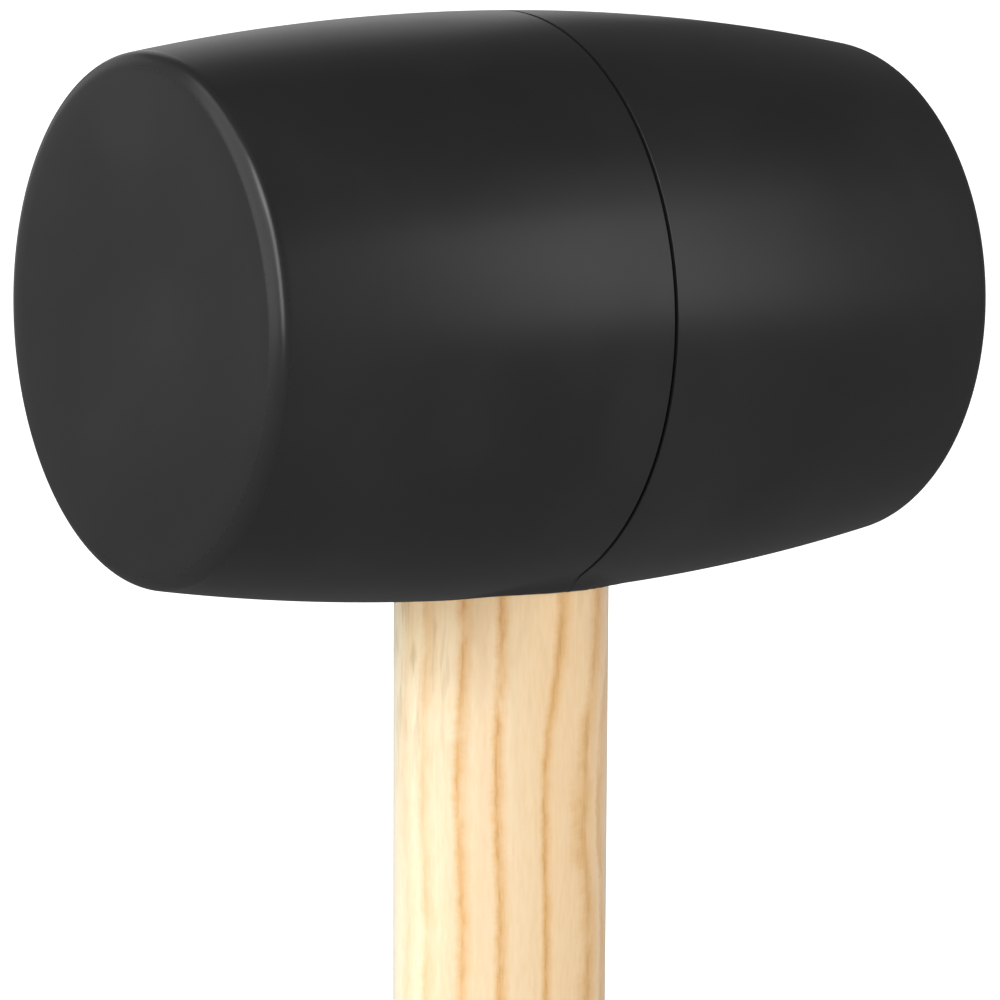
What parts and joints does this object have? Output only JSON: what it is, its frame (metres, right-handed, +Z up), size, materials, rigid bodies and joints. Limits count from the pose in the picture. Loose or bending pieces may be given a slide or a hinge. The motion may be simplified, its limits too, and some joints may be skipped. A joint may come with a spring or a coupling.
{
  "type": "rubber mallet",
  "caption": "Hand mallet with a crowned rubber barrel head on a turned ash handle, for setting paving, bricks and tiles without marking them.",
  "frame": {"origin": "middle of the butt end of the handle, on the handle's axis", "axes": "+Z up the handle to the head; X along the striking axis of the head, at a height of 0.2975 m; Y across it"},
  "size_m": [0.094, 0.065, 0.33],
  "materials": {
    "black_rubber": "satin",
    "lacquered_ash": "satin",
    "beech": "matte",
    "cured_glue": "gloss"
  },
  "bodies": {
    "root": {"rubber_head": "black_rubber", "ash_handle": "lacquered_ash", "tenon_wedge": "beech", "socket_glue": "cured_glue"}
  },
  "joints": []
}
